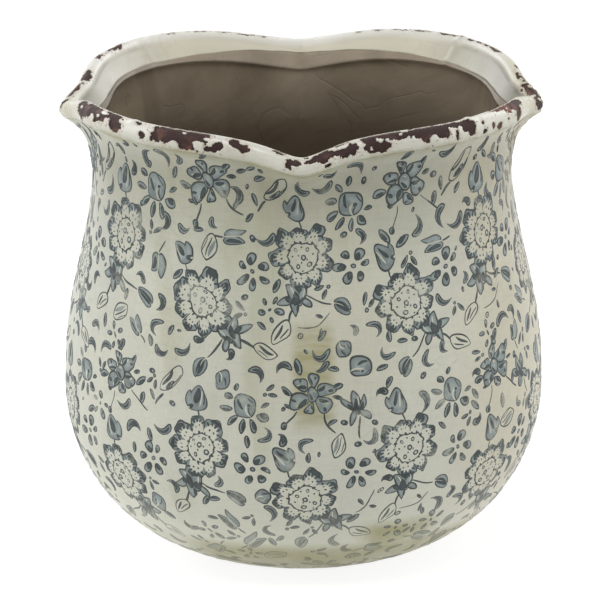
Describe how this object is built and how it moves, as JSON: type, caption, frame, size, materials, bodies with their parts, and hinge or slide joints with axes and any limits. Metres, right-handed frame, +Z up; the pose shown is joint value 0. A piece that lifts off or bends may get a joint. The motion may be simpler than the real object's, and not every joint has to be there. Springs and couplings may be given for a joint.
{
  "type": "ceramic flower pot",
  "caption": "Round-bellied glazed ceramic cache pot with a rolled, pinched lip in shallow lobes, side beaks and a bare foot ring, for holding a potted plant.",
  "frame": {"origin": "middle of the foot ring's flat face, on the surface that the pot stands on", "axes": "+Z up along the axis of the belly, -Y towards the front notch, +X towards the right beak"},
  "size_m": [0.1982, 0.1982, 0.1963],
  "materials": {
    "fired_clay": "matt, unglazed",
    "dark_slip": "matt, rubbed",
    "cream_glaze": "satin gloss, worn at the lip, with a blue-grey flower print",
    "taupe_glaze": "satin gloss"
  },
  "bodies": {
    "root": {"clay_body": "fired_clay", "rim_slip": "dark_slip", "cream_glaze": "cream_glaze", "inner_glaze": "taupe_glaze"}
  },
  "joints": []
}
